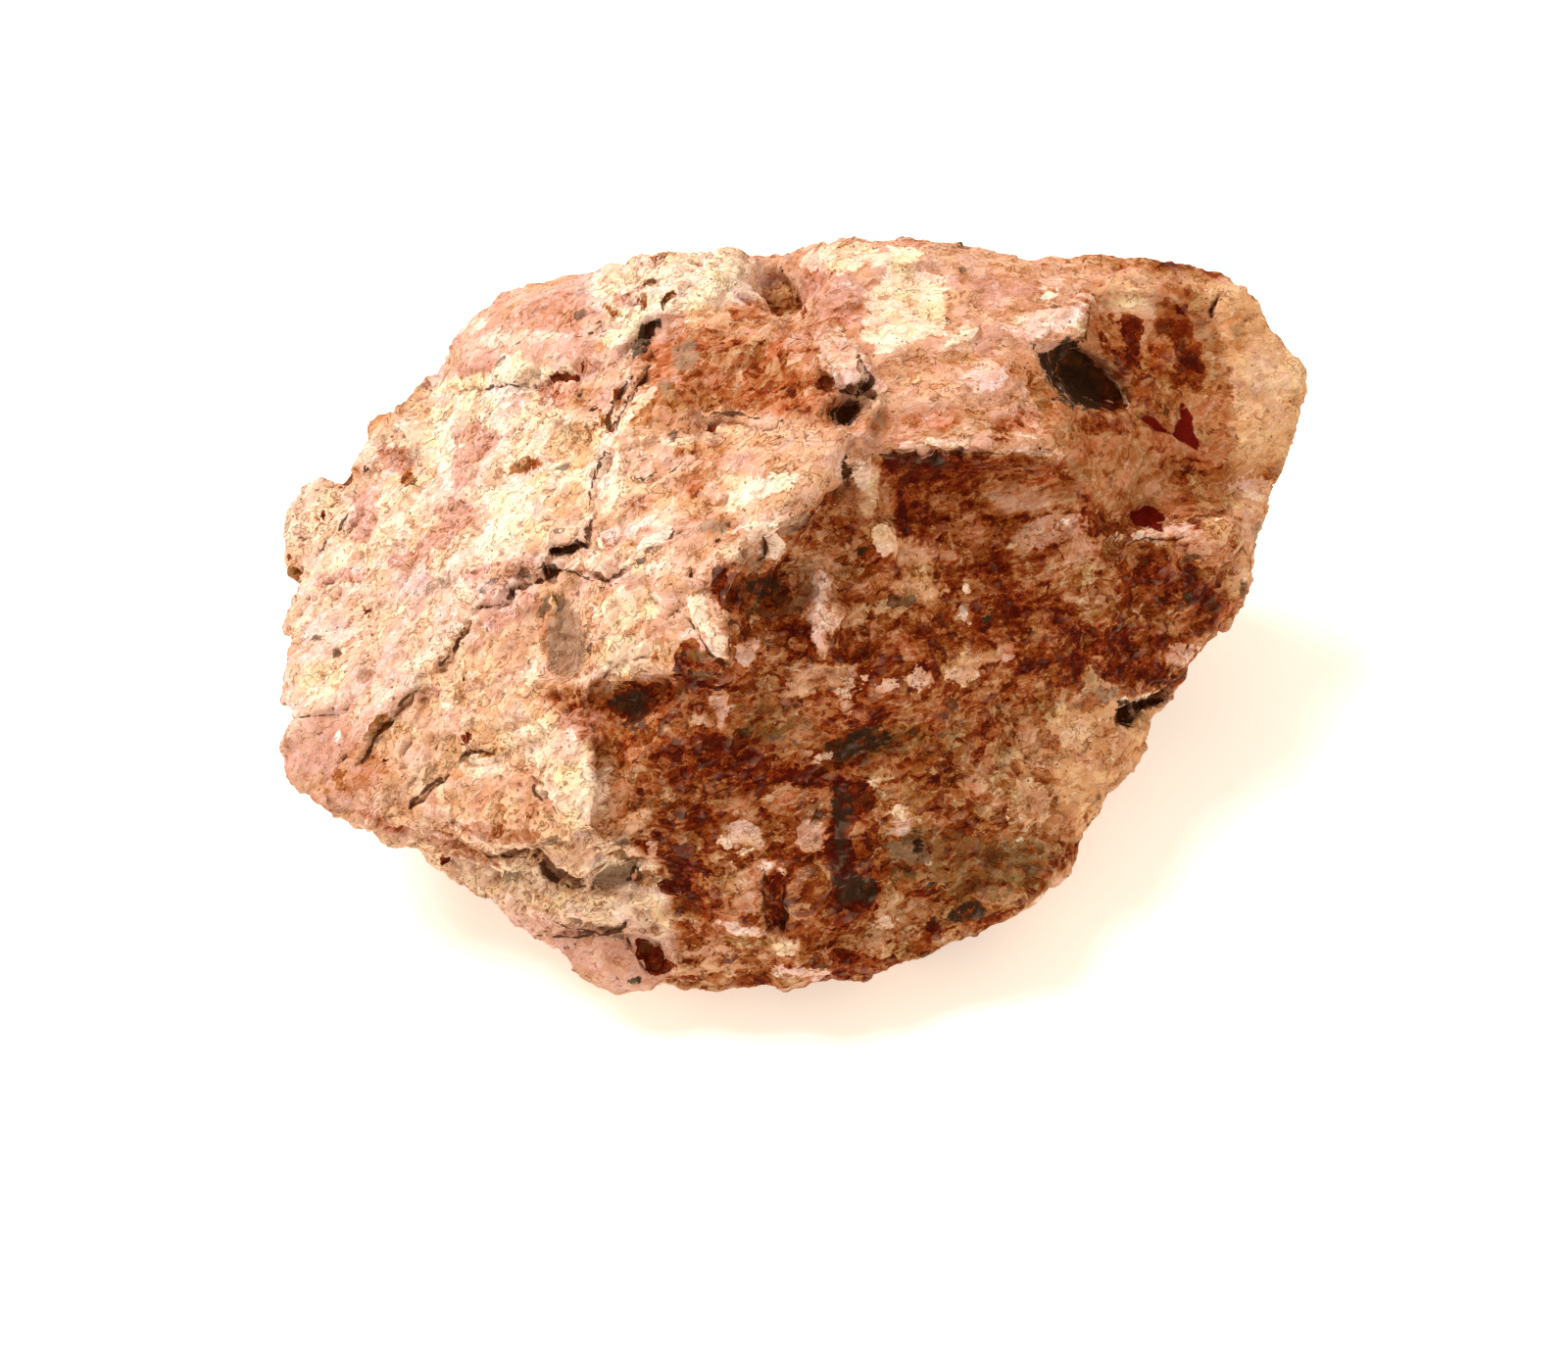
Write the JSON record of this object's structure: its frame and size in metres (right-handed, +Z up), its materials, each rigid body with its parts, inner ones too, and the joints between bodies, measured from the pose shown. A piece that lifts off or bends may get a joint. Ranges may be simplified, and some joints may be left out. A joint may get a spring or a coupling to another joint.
{
  "type": "raw pegmatite stone",
  "caption": "Rough lump of pink and cream pegmatite with split plates, ledges, cracks and a dark pit, lying on a flat break.",
  "frame": {"origin": "middle of the stone's box, in the plane of the flat break it lies on", "axes": "+X along the longest side, towards the narrow right end; +Y away from the side with the long ledge; +Z up from the flat break"},
  "size_m": [0.1106, 0.0756, 0.0527],
  "materials": {
    "pegmatite": "rough broken stone, matte with a few glassy grains"
  },
  "bodies": {
    "root": {"pegmatite": "pegmatite"}
  },
  "joints": []
}
